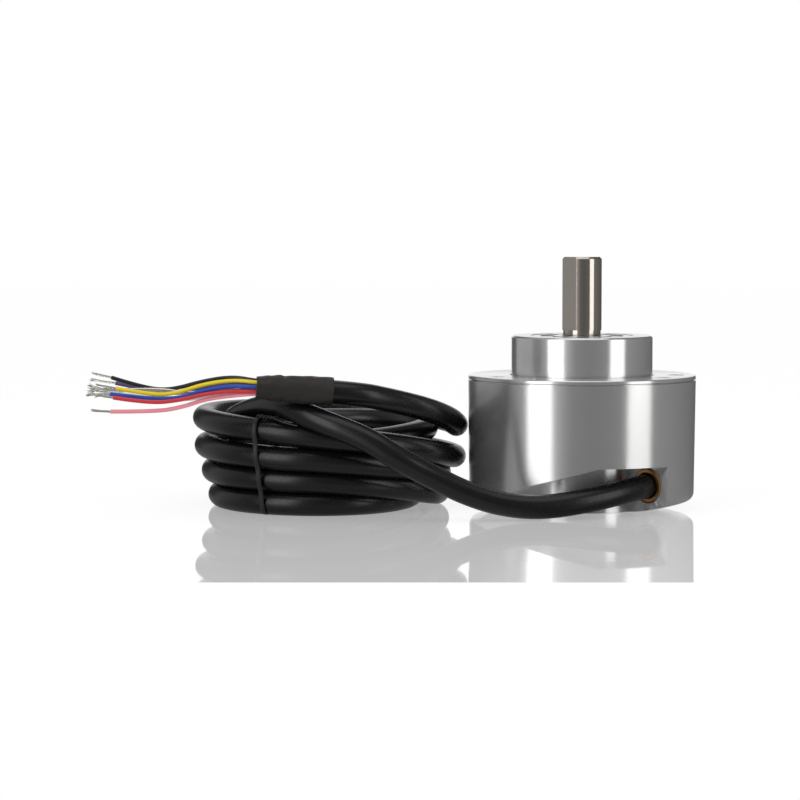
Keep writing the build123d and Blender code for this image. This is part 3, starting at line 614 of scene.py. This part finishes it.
def twisted(start, end, count, radius, turns, splay, rng):
    line = end - start
    along = line.normalized()
    side = along.cross(Vector((0, 0, 1))).normalized()
    up = side.cross(along)
    paths = []
    for i in range(count):
        base = 0.0 if i == 0 else radius
        first = 2 * math.pi * i / max(1, count - 1)
        lean = (rng.uniform(-1, 1) * splay, rng.uniform(-1, 1) * splay)
        reach = rng.uniform(0.9, 1.0)
        points = []
        steps = 12
        for s in range(-2, steps + 1):
            t = s / steps * reach
            angle = first + 2 * math.pi * turns * t
            open_by = max(0.0, t - 0.45) ** 2
            points.append(start + line * t + side * (base * math.cos(angle) + lean[0] * open_by)
                          + up * (base * math.sin(angle) + lean[1] * open_by))
        paths.append(points)
    return paths


strand_rng = random.Random(11)
strand_paths = []
for lead_name, (angle, route, tip) in lead_routes.items():
    lead = cord_curve(lead_name + "_wire", lead_start(angle) + route, lead_d, lead_name, round_by=5, steps=12)
    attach(lead, "housing")
    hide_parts(lead_name)
    strand_paths += twisted(Vector(route[-1]), Vector(tip), 7, 0.2, 1.1, 1.3, strand_rng)
strands = thin_strands("bare_strands", strand_paths, strand_d, "bare_copper_tinned")
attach(strands, "housing")
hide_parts("bare_conductors")

shield = cord_curve("shield_core", [sleeve_point(cable_stop), sleeve_point(sleeve_len)] + shield_route[:-1],
                    shield_d, "bare_copper_tinned", round_by=4)
shield_paths = []
shield_foot, shield_head = Vector(shield_route[-2]), Vector(shield_route[-1])
for i in range(4):
    shield_paths += twisted(shield_foot + Vector((0, 0.2 * i - 0.3, 0.25 * (i % 2))), shield_head, 5, 0.3, 0.7, 6.0,
                            strand_rng)
shield_ends = thin_strands("shield_strands", shield_paths, shield_strand_d, "bare_copper_tinned")
for piece in (shield, shield_ends):
    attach(piece, "housing")
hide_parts("shield_pigtail")

# Tie round the coil

tie_azimuth = math.radians(-120.0)
tie_out = Vector((math.cos(tie_azimuth), math.sin(tie_azimuth), 0))
tie_across = Vector((-tie_out.y, tie_out.x, 0))
tie_half_t, tie_half_w = 0.42, 0.65
# the tie's middle line in its own plane: distance from the coil's middle, and height
tie_points = [
    (31.2, 1.3), (31.8, 3.4), (32.2, 6.0), (33.2, 8.8), (33.5, 11.8), (34.6, 14.8), (34.6, 18.0), (35.25, 21.3),
    (34.3, 23.8), (31.9, 24.9), (29.5, 24.1), (27.9, 22.4), (26.4, 20.8), (24.6, 20.0), (22.2, 19.0), (21.2, 16.6),
    (20.4, 13.2), (19.2, 10.0), (18.4, 4.6), (18.2, 1.4), (19.6, 0.5), (24.0, 0.5), (29.6, 0.5)]


def tie_place(point):
    return Vector((coil_centre[0], coil_centre[1], 0)) + tie_out * point[0] + Vector((0, 0, point[1]))


def make_tie():
    count, per = 12, 6
    line = []
    for i in range(len(tie_points)):
        a, b, c, d = (Vector(tie_points[(i + k) % len(tie_points)]) for k in (-1, 0, 1, 2))
        for s in range(per):
            t = s / per
            line.append(0.5 * ((2 * b) + (c - a) * t + (2 * a - 5 * b + 4 * c - d) * t ** 2
                               + (3 * b - a - 3 * c + d) * t ** 3))
    rings = []
    for i, point in enumerate(line):
        ahead = line[(i + 1) % len(line)] - line[i - 1]
        normal = Vector((ahead.y, -ahead.x)).normalized()
        ring = []
        for k in range(count):
            turn = 2 * math.pi * k / count
            step = normal * tie_half_t * math.sin(turn)
            ring.append(tie_place(point + step) + tie_across * tie_half_w * math.cos(turn))
        rings.append(ring)
    return loft("tie", rings, "tie_black", cyclic=True)


tie = make_tie()
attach(tie, "housing")
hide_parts("coil_tie")
# the tie's two ends are twisted together at its top, then part: one stays up, one lies along the top turn
twist_from, twist_to = Vector((-81.6, -22.3, 24.9)), Vector((-78.2, -23.3, 24.7))
twist_ends = ([(-76.9, -23.3, 24.9), (-75.9, -23.1, 25.1)],
              [(-76.2, -24.8, 24.0), (-73.6, -26.0, 23.3), (-71.5, -26.6, 22.9)])
twist_d, twist_r, twist_steps, twist_turn = 0.55, 0.3, 10, 1.2
twist_line = twist_to - twist_from
twist_side = Vector((twist_line.y, -twist_line.x, 0)).normalized()
twist_paths = []
for phase, loose_end in zip((0.0, math.pi), twist_ends):
    winds = [phase + s * twist_turn for s in range(twist_steps + 1)]
    twist_paths.append([twist_from + twist_line * (s / twist_steps) + twist_side * twist_r * math.cos(wind)
                        + Vector((0, 0, twist_r * math.sin(wind))) for s, wind in enumerate(winds)] + loose_end)
twist = thin_strands("tie_twist", twist_paths, twist_d, "tie_black")
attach(twist, "housing")
